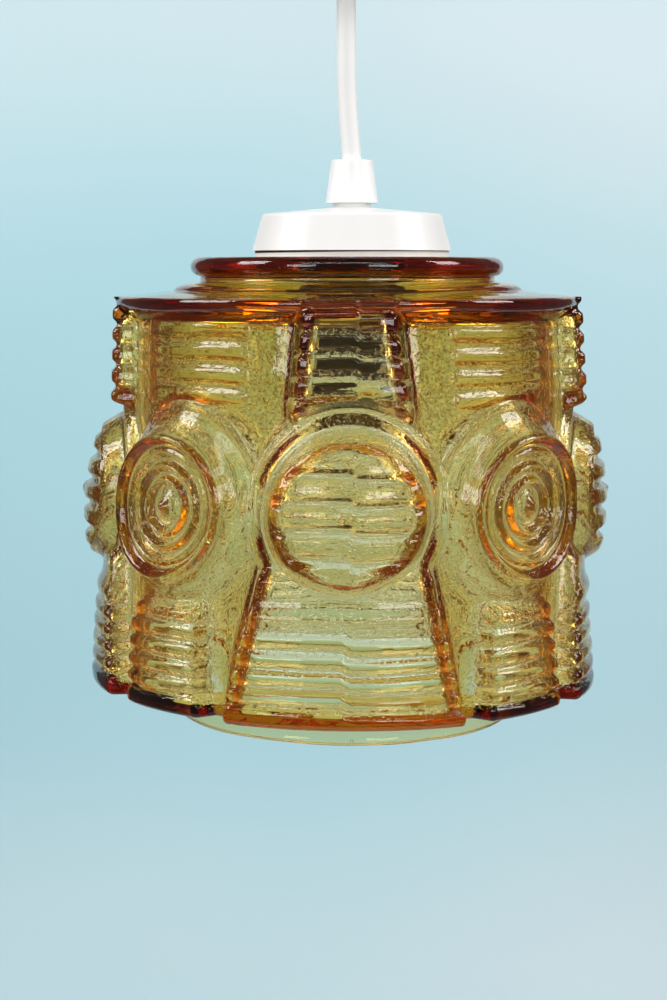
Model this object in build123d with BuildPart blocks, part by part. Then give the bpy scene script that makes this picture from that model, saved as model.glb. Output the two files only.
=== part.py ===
from build123d import *

import math
import os

# Pendant ceiling light: a ceiling rose, a short flex, a cap over an E27 lampholder, and a blown
# amber glass shade clamped by a threaded ring. Millimetres, +Z up. The origin is on the ceiling,
# at the middle of the rose, and everything hangs below it.

# Driving dimensions
GLASS_TOP = -130.0  # height of the shade's top edge
STACK_X = 2.0  # the cap and lampholder hang this far off the shade's own axis
WALL = 3.5  # glass wall
LID_T = 6.4  # the glass is thicker across its flat top
SHOULDER_T = 5.0
HOLE_R = 22.5  # hole in the glass for the lampholder

ROSE_R = 40.0  # outside of the rose's cover
ROSE_H = 33.0  # height of the rose
ROSE_WALL = 2.0
BASE_R = 34.0  # base plate behind the cover
BASE_T = 3.0
RIM_H = 10.5  # depth of the base's rim
LUG_T = 2.5  # bayonet lug
LUG_OUT = 36.0
LUG_W = 18.0
FIXING_SPACING = 40.0  # the two ceiling screws
FIXING_R = 2.25
SUPPLY_R = 7.0  # hole for the supply wires

CORD_D = 6.5
CORD_R = CORD_D / 2
CORD_GAP = 0.3  # round the flex at both of its mouths
GRIP_TOP = 32.5  # mouth of the cord grip above the glass
WIRE_R = 1.0

NIPPLE_R = 5.0  # M10 threaded tube
NIPPLE_BORE = 3.7
RUNNING = 0.06  # radial clearance of a turning fit

SKIRT_R = 19.7  # crest of the thread outside the lampholder
SKIRT_ROOT = 18.9
SKIRT_BORE = 17.2
SKIRT_TOP = -1.5
SKIRT_END = -52.0
THREAD_PITCH = 4.0
SHELL_R = 13.3  # inside the E27 screw shell
SHELL_T = 0.6
INSERT_R = 16.9

DISC_Z = -77.8  # centres of the round bosses
FACE_R = 21.3  # radius of a round boss's face
FOOT_R = 26.0  # radius of a boss where it meets the drum
RIB_H = 1.1

# The planes that profiles are drawn on: x outwards, y up, with y = 0 at the top of the glass
glass_front = Plane(origin=(0, 0, GLASS_TOP), x_dir=(1, 0, 0), z_dir=(0, -1, 0))
glass_side = Plane(origin=(0, 0, GLASS_TOP), x_dir=(0, -1, 0), z_dir=(-1, 0, 0))
stack_front = Plane(origin=(STACK_X, 0, GLASS_TOP), x_dir=(1, 0, 0), z_dir=(0, -1, 0))
stack_axis = Axis((STACK_X, 0, 0), (0, 0, 1))

os.makedirs("parts", exist_ok=True)


def save(solid, name):
    """Labels a finished piece and writes its STEP file."""
    solid.label = name
    export_step(solid, f"parts/{name}.step")


def corner_radii(points):
    """Tangent arcs as large as the runs allow, one for each corner of a route."""
    radii = []
    for before, corner, after in zip(points, points[1:], points[2:]):
        run_in = Vector(*corner) - Vector(*before)
        run_out = Vector(*after) - Vector(*corner)
        half_turn = math.radians(run_in.get_angle(run_out)) / 2
        radii.append(0.45 * min(run_in.length, run_out.length) / math.tan(half_turn))
    return radii


# ---------------------------------------------------------------- ceiling rose, fixed part

BLOCK_Y = 17.0  # middle of the terminal block
BLOCK = (30.0, 12.0, 12.0)
TERMINAL_X = 8.0
TERMINAL_R = 2.4
TERMINAL_Z = -9.0
PILLAR_X = 12.0
PILLAR_END = -13.0
CLAMP_T = 8.0

with BuildPart() as rose_base:
    with BuildSketch(Plane.XY.offset(-BASE_T)):
        Circle(BASE_R)
    extrude(amount=BASE_T)
    with BuildSketch(Plane.XY.offset(-RIM_H)):
        Circle(BASE_R)
        Circle(BASE_R - 2, mode=Mode.SUBTRACT)
    extrude(amount=RIM_H - BASE_T)
    with BuildSketch(Plane.XY.offset(-RIM_H)):
        with PolarLocations((BASE_R - 1 + LUG_OUT) / 2, 3):
            Rectangle(LUG_OUT - BASE_R + 1, LUG_W)
    extrude(amount=LUG_T)
    with BuildSketch(Plane.XY.offset(PILLAR_END)):
        with GridLocations(2 * PILLAR_X, 0, 2, 1):
            Circle(3.5)
    extrude(amount=-PILLAR_END - BASE_T)
    with BuildSketch(Plane.XY.offset(-BASE_T)):
        Circle(SUPPLY_R)
        with GridLocations(FIXING_SPACING, 0, 2, 1):
            Circle(FIXING_R)
    extrude(amount=BASE_T, mode=Mode.SUBTRACT)
    with BuildSketch(Plane.XY.offset(PILLAR_END)):
        with GridLocations(2 * PILLAR_X, 0, 2, 1):
            Circle(1.5)
    extrude(amount=7, mode=Mode.SUBTRACT)
save(rose_base.part, "rose_base")

with BuildPart() as terminal_block:
    block_middle = (0, BLOCK_Y, -BASE_T - BLOCK[2] / 2)
    with Locations(block_middle):
        Box(*BLOCK)
    fillet(terminal_block.edges().filter_by(Axis.Z), 1.5)
    with BuildSketch(Plane.XZ.offset(-BLOCK_Y)):
        with Locations((-TERMINAL_X, TERMINAL_Z), (TERMINAL_X, TERMINAL_Z)):
            Circle(TERMINAL_R)
    extrude(amount=BLOCK[1], both=True, mode=Mode.SUBTRACT)
    with BuildSketch(Plane.XY.offset(-BASE_T - BLOCK[2])):
        with Locations((-TERMINAL_X, BLOCK_Y), (TERMINAL_X, BLOCK_Y)):
            Circle(2.0)
    extrude(amount=BLOCK[2] / 2, mode=Mode.SUBTRACT)
save(terminal_block.part, "terminal_block")

with BuildPart() as terminals:
    with BuildSketch(Plane.XZ.offset(-BLOCK_Y)):
        with Locations((-TERMINAL_X, TERMINAL_Z), (TERMINAL_X, TERMINAL_Z)):
            Circle(TERMINAL_R)
            Circle(1.3, mode=Mode.SUBTRACT)
    extrude(amount=5, both=True)
    with BuildSketch(Plane.XY.offset(-BASE_T - BLOCK[2])):
        with Locations((-TERMINAL_X, BLOCK_Y), (TERMINAL_X, BLOCK_Y)):
            Circle(1.5)
    extrude(amount=BLOCK[2] / 2, mode=Mode.SUBTRACT)
save(terminals.part, "terminals")

with BuildPart() as terminal_screws:
    with BuildSketch(Plane.XY.offset(-BASE_T - BLOCK[2] + 0.5)):
        with Locations((-TERMINAL_X, BLOCK_Y), (TERMINAL_X, BLOCK_Y)):
            Circle(1.5)
    extrude(amount=4)
    with BuildSketch(Plane.XY.offset(-BASE_T - BLOCK[2] + 0.5)):
        with Locations((-TERMINAL_X, BLOCK_Y), (TERMINAL_X, BLOCK_Y)):
            Rectangle(3, 0.6)
    extrude(amount=0.8, mode=Mode.SUBTRACT)
save(terminal_screws.part, "terminal_screws")

with BuildPart() as cord_clamp:
    with BuildSketch(Plane.XY.offset(PILLAR_END - CLAMP_T)):
        RectangleRounded(32, 11, 3)
        Circle(CORD_R + 0.05, mode=Mode.SUBTRACT)
        with GridLocations(2 * PILLAR_X, 0, 2, 1):
            Circle(1.7, mode=Mode.SUBTRACT)
    extrude(amount=CLAMP_T)
save(cord_clamp.part, "cord_clamp")

with BuildPart() as clamp_screws:
    with BuildSketch(Plane.XY.offset(PILLAR_END - CLAMP_T - 2)):
        with GridLocations(2 * PILLAR_X, 0, 2, 1):
            Circle(3.0)
    extrude(amount=2)
    with BuildSketch(Plane.XY.offset(PILLAR_END - CLAMP_T)):
        with GridLocations(2 * PILLAR_X, 0, 2, 1):
            Circle(1.45)
    extrude(amount=CLAMP_T + 6)
    with BuildSketch(Plane.XY.offset(PILLAR_END - CLAMP_T - 2)):
        with GridLocations(2 * PILLAR_X, 0, 2, 1):
            Rectangle(6, 0.8)
    extrude(amount=0.9, mode=Mode.SUBTRACT)
save(clamp_screws.part, "clamp_screws")

LEAD_END = -12.0  # the sheath is stripped off above this
with BuildPart() as rose_lead:
    with BuildSketch(Plane.XY.offset(-ROSE_H + CORD_R + CORD_GAP)):
        Circle(CORD_R)
    extrude(amount=LEAD_END + ROSE_H - CORD_R - CORD_GAP)
save(rose_lead.part, "rose_lead")

with BuildPart() as rose_wires:
    for side in (-1, 1):
        with BuildLine() as wire:
            FilletPolyline(
                (side * 1.5, 0, LEAD_END),
                (side * 1.5, 0, -6),
                (side * TERMINAL_X, 5, TERMINAL_Z),
                (side * TERMINAL_X, BLOCK_Y - 2, TERMINAL_Z),
                radius=(2.5, 3),
            )
        with BuildSketch(Plane.XY.offset(LEAD_END)):
            with Locations((side * 1.5, 0)):
                Circle(WIRE_R)
        sweep(path=wire.line)
save(rose_wires.part, "rose_wires")

# ---------------------------------------------------------------- ceiling rose, turning cover

COVER_GAP = 0.4  # between the cover's edge and the ceiling
LEDGE_TOP = -5.0
LEDGE_END = -RIM_H + LUG_T + 0.05

with BuildPart() as rose_cover:
    with BuildSketch(Plane.XZ):
        with BuildLine():
            Line((ROSE_R, -COVER_GAP), (ROSE_R, -17))
            ThreePointArc((ROSE_R, -17), (35, -27.5), (22, -ROSE_H + 0.8))
            Line((22, -ROSE_H + 0.8), (8, -ROSE_H))
            Line((8, -ROSE_H), (0, -ROSE_H))
            Line((0, -ROSE_H), (0, -ROSE_H + ROSE_WALL))
            Line((0, -ROSE_H + ROSE_WALL), (21.5, -ROSE_H + 0.8 + ROSE_WALL))
            ThreePointArc((21.5, -ROSE_H + 0.8 + ROSE_WALL), (33.4, -26), (ROSE_R - ROSE_WALL, -17))
            Line((ROSE_R - ROSE_WALL, -17), (ROSE_R - ROSE_WALL, -COVER_GAP))
            Line((ROSE_R - ROSE_WALL, -COVER_GAP), (ROSE_R, -COVER_GAP))
        make_face()
    revolve(axis=Axis.Z)
    ledge_in = BASE_R + 0.3
    with BuildSketch(Plane.XY.offset(LEDGE_END)):
        with PolarLocations((ledge_in + ROSE_R - ROSE_WALL + 0.5) / 2, 3):
            Rectangle(ROSE_R - ROSE_WALL + 0.5 - ledge_in, LUG_W)
    extrude(amount=LEDGE_TOP - LEDGE_END)
    with BuildSketch(Plane.XY.offset(-ROSE_H - 1)):
        Circle(CORD_R + CORD_GAP)
    extrude(amount=5, mode=Mode.SUBTRACT)
save(rose_cover.part, "rose_cover")

# ---------------------------------------------------------------- flex

CORD_POINTS = [
    (STACK_X, 0, GLASS_TOP + GRIP_TOP),
    (0.45, 0, GLASS_TOP + 49.5),
    (0.05, 0, GLASS_TOP + 66),
    (0, 0, -ROSE_H),
]
cord_corners = corner_radii(CORD_POINTS)
print("cord radii", [round(r, 1) for r in cord_corners])
with BuildPart() as cord:
    with BuildLine() as cord_route:
        FilletPolyline(*CORD_POINTS, radius=cord_corners)
    with BuildSketch(Plane(origin=CORD_POINTS[0], z_dir=cord_route.line % 0)):
        Circle(CORD_R)
    sweep(path=cord_route.line)
    tube_volume = cord.part.volume
    with Locations(CORD_POINTS[0], CORD_POINTS[-1]):
        Sphere(CORD_R)
cord_length = cord_route.wire().length
section_volume = math.pi * CORD_R**2 * cord_length
print("cord length", round(cord_length, 2), "tube volume", round(tube_volume, 1))
print("section x length", round(section_volume, 1))
save(cord.part, "cord")

# ---------------------------------------------------------------- cord grip

GRIP_FOOT = 16.5
GRIP_SEAM = 18.1
BORE_STEP = 24.0
SCREW_Z = 26.3

with BuildPart() as cord_grip:
    with BuildSketch(stack_front):
        Polygon(
            (NIPPLE_R + RUNNING, GRIP_FOOT),
            (6.4, GRIP_FOOT),
            (6.4, GRIP_SEAM),
            (8.85, GRIP_SEAM),
            (7.06, GRIP_TOP),
            (CORD_R + CORD_GAP, GRIP_TOP),
            (CORD_R + CORD_GAP, BORE_STEP),
            (NIPPLE_R + RUNNING, BORE_STEP),
            align=None,
        )
    revolve(axis=stack_axis)
    rims = cord_grip.edges().filter_by(GeomType.CIRCLE).filter_by(lambda e: e.radius > 7)
    fillet(rims.sort_by(Axis.Z)[-1], 0.6)
    with BuildSketch(Plane.XZ):
        with Locations((STACK_X, GLASS_TOP + SCREW_Z)):
            Circle(1.5)
    extrude(amount=-12, mode=Mode.SUBTRACT)
save(cord_grip.part, "cord_grip")

with BuildPart() as grip_screw:
    with BuildSketch(Plane.XZ.offset(-CORD_R)):
        with Locations((STACK_X, GLASS_TOP + SCREW_Z)):
            Circle(1.45)
    extrude(amount=-4)
    with BuildSketch(Plane.XZ.offset(-CORD_R - 4)):
        with Locations((STACK_X, GLASS_TOP + SCREW_Z)):
            Rectangle(3, 0.6)
    extrude(amount=0.8, mode=Mode.SUBTRACT)
save(grip_screw.part, "grip_screw")

with BuildPart() as grip_lead:
    with BuildSketch(Plane.XY.offset(GLASS_TOP + BORE_STEP + 0.3)):
        with Locations((STACK_X, 0)):
            Circle(CORD_R - 0.02)
    extrude(amount=GRIP_TOP - CORD_R - CORD_GAP - BORE_STEP - 0.3)
save(grip_lead.part, "grip_lead")

# ---------------------------------------------------------------- cap and lampholder

CAP_FOOT = 2.0
NUT_TOP = 13.6
NUT_T = 2.8
DOME_TOP = NUT_TOP - NUT_T

with BuildPart() as nipple:
    with BuildSketch(Plane.XY.offset(GLASS_TOP + 6)):
        with Locations((STACK_X, 0)):
            Circle(NIPPLE_R)
            Circle(NIPPLE_BORE, mode=Mode.SUBTRACT)
    extrude(amount=17.5)
save(nipple.part, "nipple")

with BuildPart() as cap:
    with BuildSketch(stack_front):
        Polygon(
            (NIPPLE_R + 0.1, 14.4),
            (9.0, 14.3),
            (28.9, 12.5),
            (31.9, CAP_FOOT),
            (33.9, CAP_FOOT),
            (30.5, 14.3),
            (9.3, 16.3),
            (8.2, 16.42),
            (NIPPLE_R + 0.1, 16.42),
            align=None,
        )
    revolve(axis=stack_axis)
    shoulder = cap.edges().filter_by(GeomType.CIRCLE).filter_by(lambda e: 30.4 < e.radius < 30.6)
    fillet(shoulder, 1.4)
save(cap.part, "cap")

with BuildPart() as star_washer:
    with BuildSketch(Plane.XY.offset(GLASS_TOP + NUT_TOP)):
        with Locations((STACK_X, 0)):
            Circle(8.0)
            with PolarLocations(8.0, 12):
                Circle(0.8, mode=Mode.SUBTRACT)
            Circle(NIPPLE_R + 0.1, mode=Mode.SUBTRACT)
    extrude(amount=0.7)
save(star_washer.part, "star_washer")

with BuildPart() as lock_nut:
    with BuildSketch(Plane.XY.offset(GLASS_TOP + DOME_TOP)):
        with Locations((STACK_X, 0)):
            RegularPolygon(7.0, 6, major_radius=False)
            Circle(NIPPLE_R + 0.02, mode=Mode.SUBTRACT)
    extrude(amount=NUT_T)
save(lock_nut.part, "lock_nut")

with BuildPart() as holder_dome:
    with BuildSketch(stack_front):
        Polygon(
            (NIPPLE_R + 0.02, DOME_TOP),
            (8.5, DOME_TOP),
            (9.2, 8.6),
            (17.0, 4.2),
            (SKIRT_R, 0.6),
            (SKIRT_R, SKIRT_TOP),
            (SKIRT_BORE, SKIRT_TOP),
            (SKIRT_BORE, 0.0),
            (15.4, 2.6),
            (7.8, 6.0),
            (NIPPLE_R + 0.02, 6.0),
            align=None,
        )
    revolve(axis=stack_axis)
save(holder_dome.part, "holder_dome")

thread = [(SKIRT_R, -2.5)]
turns = int((SKIRT_TOP - SKIRT_END - 5) / THREAD_PITCH)
for turn in range(turns):
    crest = -3.0 - turn * THREAD_PITCH
    thread.append((SKIRT_R, crest))
    thread.append((SKIRT_ROOT, crest - 1.0))
    thread.append((SKIRT_ROOT, crest - 1.8))
    thread.append((SKIRT_R, crest - 2.8))
with BuildPart() as holder_skirt:
    with BuildSketch(stack_front):
        Polygon(
            (SKIRT_BORE, SKIRT_TOP),
            (SKIRT_R, SKIRT_TOP),
            *thread,
            (SKIRT_R, SKIRT_END + 1.5),
            (SKIRT_ROOT, SKIRT_END),
            (14.6, SKIRT_END),
            (14.6, SKIRT_END + 2),
            (SKIRT_BORE, SKIRT_END + 2),
            align=None,
        )
    revolve(axis=stack_axis)
save(holder_skirt.part, "holder_skirt")

INSERT_TOP = -3.0
INSERT_FLOOR = -10.0
INSERT_END = -46.0
SCREW_X = 8.0

with BuildPart() as holder_insert:
    with BuildSketch(stack_front):
        Polygon(
            (0, INSERT_TOP),
            (INSERT_R, INSERT_TOP),
            (INSERT_R, INSERT_END),
            (SHELL_R + SHELL_T, INSERT_END),
            (SHELL_R + SHELL_T, INSERT_FLOOR),
            (0, INSERT_FLOOR),
            align=None,
        )
    revolve(axis=stack_axis)
    with BuildSketch(Plane.XY.offset(GLASS_TOP + INSERT_FLOOR)):
        with Locations((STACK_X - SCREW_X, 0), (STACK_X + SCREW_X, 0)):
            Circle(1.3)
    extrude(amount=INSERT_TOP - INSERT_FLOOR, mode=Mode.SUBTRACT)
save(holder_insert.part, "holder_insert")

with BuildPart() as screw_shell:
    with BuildSketch(stack_front):
        Polygon(
            (SHELL_R, -13),
            (SHELL_R + SHELL_T, -13),
            (SHELL_R + SHELL_T, -44),
            (SHELL_R, -44),
            align=None,
        )
    revolve(axis=stack_axis)
save(screw_shell.part, "screw_shell")

with BuildPart() as centre_contact:
    with BuildSketch(stack_front):
        Polygon(
            (-9.5, INSERT_FLOOR),
            (-6.2, INSERT_FLOOR),
            (-1.5, -12.3),
            (1.3, -12.3),
            (3.0, -11.4),
            (3.0, -11.9),
            (1.5, -12.8),
            (-1.7, -12.8),
            (-6.7, INSERT_FLOOR - 0.5),
            (-9.5, INSERT_FLOOR - 0.5),
            align=None,
        )
    extrude(amount=2.2, both=True)
save(centre_contact.part, "centre_contact")

with BuildPart() as side_contact:
    with BuildSketch(stack_front):
        Polygon(
            (6.5, INSERT_FLOOR),
            (SHELL_R + SHELL_T / 2, INSERT_FLOOR),
            (SHELL_R + SHELL_T / 2, -13),
            (SHELL_R, -13),
            (SHELL_R, INSERT_FLOOR - 0.5),
            (6.5, INSERT_FLOOR - 0.5),
            align=None,
        )
    extrude(amount=1.6, both=True)
save(side_contact.part, "side_contact")

with BuildPart() as contact_screws:
    with BuildSketch(Plane.XY.offset(GLASS_TOP + INSERT_TOP)):
        with Locations((STACK_X - SCREW_X, 0), (STACK_X + SCREW_X, 0)):
            Circle(2.4)
    extrude(amount=1.8)
    with BuildSketch(Plane.XY.offset(GLASS_TOP + INSERT_FLOOR)):
        with Locations((STACK_X - SCREW_X, 0), (STACK_X + SCREW_X, 0)):
            Circle(1.2)
    extrude(amount=INSERT_TOP - INSERT_FLOOR)
    with BuildSketch(Plane.XY.offset(GLASS_TOP + INSERT_TOP + 1.0)):
        with Locations((STACK_X - SCREW_X, 0), (STACK_X + SCREW_X, 0)):
            Rectangle(5, 0.7)
    extrude(amount=0.8, mode=Mode.SUBTRACT)
save(contact_screws.part, "contact_screws")

with BuildPart() as holder_wires:
    for side in (-1, 1):
        top = GLASS_TOP + BORE_STEP - 0.3
        with BuildLine() as wire:
            FilletPolyline(
                (STACK_X + side * 1.6, 0, top),
                (STACK_X + side * 1.6, 0, GLASS_TOP + 3.6),
                (STACK_X + side * SCREW_X, 0, GLASS_TOP + 2.6),
                (STACK_X + side * SCREW_X, 0, GLASS_TOP + INSERT_TOP + 1.8),
                radius=(1.6, 1.6),
            )
        with BuildSketch(Plane.XY.offset(top)):
            with Locations((STACK_X + side * 1.6, 0)):
                Circle(WIRE_R)
        sweep(path=wire.line)
save(holder_wires.part, "holder_wires")

# ---------------------------------------------------------------- shade ring and washer

GLASS_SEAT = -0.2  # flat top of the glass, just under its rounded edge
RING_TOP = GLASS_SEAT - LID_T - 0.05

with BuildPart() as shade_ring:
    with BuildSketch(stack_front):
        Polygon(
            (SKIRT_R + RUNNING, RING_TOP),
            (28.5, RING_TOP),
            (28.5, RING_TOP - 2.2),
            (24.0, RING_TOP - 2.8),
            (24.0, RING_TOP - 7.5),
            (SKIRT_R + RUNNING, RING_TOP - 7.5),
            align=None,
        )
    revolve(axis=stack_axis)
    with BuildSketch(Plane.XY.offset(GLASS_TOP + RING_TOP - 8)):
        with Locations((STACK_X, 0)):
            with PolarLocations(24.2, 24):
                Circle(0.8)
    extrude(amount=4.8, mode=Mode.SUBTRACT)
save(shade_ring.part, "shade_ring")

with BuildPart() as seat_washer:
    with BuildSketch(Plane.XY.offset(GLASS_TOP + GLASS_SEAT)):
        with Locations((STACK_X, 0)):
            Circle(33.0)
            Circle(26.0, mode=Mode.SUBTRACT)
    extrude(amount=CAP_FOOT - GLASS_SEAT)
save(seat_washer.part, "seat_washer")

# ---------------------------------------------------------------- glass shade

DRUM_R = 71.8  # drum between the blocks, near its top
DRUM_FOOT_R = 78.2  # and at its foot: the drum flares a little
DRUM_END = -144.4
COLLAR_R = 56.4
COLLAR_END = -156.2
BLOCK_ROOT = 60.0  # blocks reach this far in, inside the drum
BLOCK_TOP = -15.0
MAIN_RIM = 85.5  # edge and middle of the bosses at the front, back and sides
MAIN_CROWN = 90.0
SIDE_RIM = 82.5  # edge and middle of the bosses on the diagonals
SIDE_CROWN = 84.0
RING_RADII = [7.5, 15.0]  # rings cut into the diagonal bosses
RIB_COUNT = 5  # level ribs down each block


def ribbed_block(faces, ends, halves, ribs, plain):
    """A block on the -Y side of the drum, wider towards one end.

    faces, ends and halves are its radius, height and half width at its top and at its bottom.
    Level ribs run down the face below a plain stretch; with no ribs the face is flat.
    """
    top, bottom = ends
    slope = (faces[1] - faces[0]) / (top - bottom)
    count = max(1, ribs)
    step = (top - plain - bottom) / count
    with BuildPart() as block:
        with BuildSketch(glass_side):
            with BuildLine():
                Line((BLOCK_ROOT, top), (faces[0], top))
                if plain > 0:
                    Line((faces[0], top), (faces[0] + slope * plain, top - plain))
                for i in range(count):
                    down = plain + i * step
                    first = (faces[0] + slope * down, top - down)
                    last = (faces[0] + slope * (down + step), top - down - step)
                    if ribs > 0:
                        crest = ((first[0] + last[0]) / 2 + RIB_H, top - down - step / 2)
                        ThreePointArc(first, crest, last)
                    else:
                        Line(first, last)
                Polyline((faces[1], bottom), (BLOCK_ROOT, bottom), (BLOCK_ROOT, top))
            make_face()
        extrude(amount=max(halves) + 1, both=True)
        with BuildSketch(glass_front):
            Polygon(
                (-halves[0], top + 0.01),
                (halves[0], top + 0.01),
                (halves[1], bottom - 0.01),
                (-halves[1], bottom - 0.01),
                align=None,
            )
        extrude(amount=max(faces) + 5, mode=Mode.INTERSECT)
    return block.part


def boss(rim, middle, foot, face, grooves):
    """A round boss on the -Y side: a sloped wall, a domed face and rings cut round its middle."""
    dome_h = middle - rim
    dome_r = (face**2 + dome_h**2) / (2 * dome_h)
    half = math.asin(face / dome_r) / 2
    halfway = (middle - dome_r + dome_r * math.cos(half), dome_r * math.sin(half))
    profile = Plane(origin=(0, 0, GLASS_TOP + DISC_Z), x_dir=(0, -1, 0), z_dir=(-1, 0, 0))
    boss_axis = Axis((0, 0, GLASS_TOP + DISC_Z), (0, -1, 0))
    with BuildPart() as disc:
        with BuildSketch(profile):
            with BuildLine():
                Polyline((middle, 0), (BLOCK_ROOT, 0), (BLOCK_ROOT, foot))
                Polyline((BLOCK_ROOT, foot), (rim - 10, foot), (rim, face))
                ThreePointArc((rim, face), halfway, (middle, 0))
            make_face()
        revolve(axis=boss_axis)
        for groove in grooves:
            with BuildSketch(profile):
                with Locations((middle - 0.2, groove)):
                    Circle(1.5)
            revolve(axis=boss_axis, mode=Mode.SUBTRACT)
    return disc.part


def relief(inset, ribs, rings):
    """The blocks and bosses of one quarter of the drum, each with its angle, drawn in by inset."""
    top = BLOCK_TOP - inset * SHOULDER_T / WALL
    end = DRUM_END + inset
    blocks = [
        ((78.6, 80.4), (top, -50.0), (14.5, 18.0), 0.0, 0),
        ((83.4, 85.4), (-100.0, end), (26.5, 34.0), 15.0, 0),
        ((72.8, 74.2), (top, -48.0), (25.0, 25.0), 0.0, 45),
        ((81.4, 82.8), (-108.0, end), (14.0, 18.0), 8.0, 45),
    ]
    solids = []
    for faces, ends, halves, plain, angle in blocks:
        drawn_in = [face - inset for face in faces]
        narrowed = [half - inset for half in halves]
        solids.append((ribbed_block(drawn_in, ends, narrowed, ribs, plain), angle))
    foot = FOOT_R - inset
    face = FACE_R - inset
    solids.append((boss(MAIN_RIM - inset, MAIN_CROWN - inset, foot, face, []), 0))
    solids.append((boss(SIDE_RIM - inset, SIDE_CROWN - inset, foot, face, rings), 45))
    return solids


def add_relief(inset, ribs, rings):
    """Joins the blocks and bosses of all four quarters to the current part, one at a time."""
    for solid, start in relief(inset, ribs, rings):
        for quarter in range(4):
            with Locations(Rotation(0, 0, start + 90 * quarter)):
                add(solid)


with BuildPart() as cavity:
    mouth = COLLAR_R - WALL
    floor = DRUM_END + WALL
    with BuildSketch(glass_front):
        Polygon(
            (0, GLASS_SEAT - LID_T),
            (45.5, GLASS_SEAT - LID_T),
            (47.5, -8.6),
            (47.5, -12.0),
            (53.5, -15.5),
            (60.0, -17.0),
            (70.0, -13.4 - SHOULDER_T),
            (70.5, -19.5),
            (DRUM_R - WALL - 0.3, -26.5),
            (DRUM_FOOT_R - WALL, floor + 3),
            (DRUM_FOOT_R - WALL - 3, floor),
            (mouth + 1.5, floor),
            (mouth, floor - 1.5),
            (mouth, COLLAR_END - 1),
            (0, COLLAR_END - 1),
            align=None,
        )
    revolve(axis=Axis.Z)
    add_relief(WALL, 0, [])

with BuildPart() as glass_shade:
    with BuildSketch(glass_front):
        with BuildLine():
            Polyline((0, GLASS_SEAT), (49.5, GLASS_SEAT))
            ThreePointArc((49.5, GLASS_SEAT), (52.4, -1.2), (53.6, -3.4))
            ThreePointArc((53.6, -3.4), (53.0, -5.6), (51.3, -6.7))
            Line((51.3, -6.7), (51.3, -8.5))
            ThreePointArc((51.3, -8.5), (55.8, -9.2), (59.5, -11.4))
            Polyline((59.5, -11.4), (75.5, -13.4), (77.6, -15.2), (73.2, -20.5), (DRUM_R, -25))
            Polyline((DRUM_R, -25), (DRUM_FOOT_R, DRUM_END + 2), (DRUM_FOOT_R - 2, DRUM_END))
            Polyline((DRUM_FOOT_R - 2, DRUM_END), (COLLAR_R, DRUM_END), (COLLAR_R, COLLAR_END))
            Polyline((COLLAR_R, COLLAR_END), (0, COLLAR_END), (0, GLASS_SEAT))
        make_face()
    revolve(axis=Axis.Z)
    add_relief(0, RIB_COUNT, RING_RADII)
    add(cavity.part, mode=Mode.SUBTRACT)
    with BuildSketch(Plane.XY.offset(GLASS_TOP - 10)):
        Circle(HOLE_R)
    extrude(amount=12, mode=Mode.SUBTRACT)
save(glass_shade.part, "glass_shade")
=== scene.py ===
"""Looks of a pendant ceiling light: white cap and flex over a relief shade of amber glass."""

from math import cos, pi, radians, sin

import bpy
import numpy as np
from bpy.props import FloatProperty, FloatVectorProperty, IntProperty, PointerProperty
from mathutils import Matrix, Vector


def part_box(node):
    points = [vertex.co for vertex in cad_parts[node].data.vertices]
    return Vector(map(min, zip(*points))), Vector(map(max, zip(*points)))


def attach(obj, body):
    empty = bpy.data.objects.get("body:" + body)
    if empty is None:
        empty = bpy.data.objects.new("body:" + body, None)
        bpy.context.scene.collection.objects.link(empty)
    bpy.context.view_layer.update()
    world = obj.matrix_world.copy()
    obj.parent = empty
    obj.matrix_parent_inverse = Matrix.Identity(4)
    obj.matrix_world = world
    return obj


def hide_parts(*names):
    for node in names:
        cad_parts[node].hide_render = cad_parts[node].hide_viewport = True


bl_info = {
    "name": "Pendant ceiling light",
    "version": (1, 0, 0),
    "blender": (4, 5, 0),
    "location": "View3D > Sidebar > Pendant",
    "description": "Builds the flex, the relief glass shade, the finishes and the studio",
    "category": "Object",
}

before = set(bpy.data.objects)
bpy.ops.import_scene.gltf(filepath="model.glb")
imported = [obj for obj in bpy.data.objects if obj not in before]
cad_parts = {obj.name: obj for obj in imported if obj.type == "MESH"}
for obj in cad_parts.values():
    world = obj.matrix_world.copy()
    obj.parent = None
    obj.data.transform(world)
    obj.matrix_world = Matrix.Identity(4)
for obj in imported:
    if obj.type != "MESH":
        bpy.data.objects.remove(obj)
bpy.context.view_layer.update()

MM = 0.001
SHADE_LOW, SHADE_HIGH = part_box("glass_shade")
LID_Z = SHADE_HIGH[2] + 0.2 * MM  # heights in the shade are measured down from here
RIM_Z = SHADE_LOW[2]
GRIP_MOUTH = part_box("cord_grip")[1][2]
ROSE_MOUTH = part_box("rose_cover")[0][2]
STACK_X = (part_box("cap")[0][0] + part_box("cap")[1][0]) / 2

DRUM_TOP = -13.4 * MM  # rows of the drum's outside start here
DRUM_FOOT = -142.4 * MM  # and end here, where its foot turns in
UPPER_RIBS_B = -19.5 * MM  # top of the level ribs on the diagonal columns
UPPER_RIBS_A = -22.2 * MM  # and on the main columns
LOWER_RIBS = -115 * MM
FLARE = 0.06  # how much the drum widens for each unit down
EDGE_BLUR = 0.4 * MM

WHITE_MOULDINGS = ["rose_base", "rose_cover", "cap", "cord_grip", "cord_clamp", "terminal_block"]
BLACK_MOULDINGS = ["holder_dome", "holder_skirt", "shade_ring"]
BRASS_PARTS = ["terminals", "screw_shell", "centre_contact", "side_contact"]
STEEL_PARTS = [
    "terminal_screws", "clamp_screws", "grip_screw", "nipple", "star_washer", "lock_nut",
    "contact_screws",
]
FLEX_STUBS = ["rose_lead", "grip_lead"]
WIRES = ["rose_wires", "holder_wires"]


# ------------------------------------------------------------------ shader tools


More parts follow.
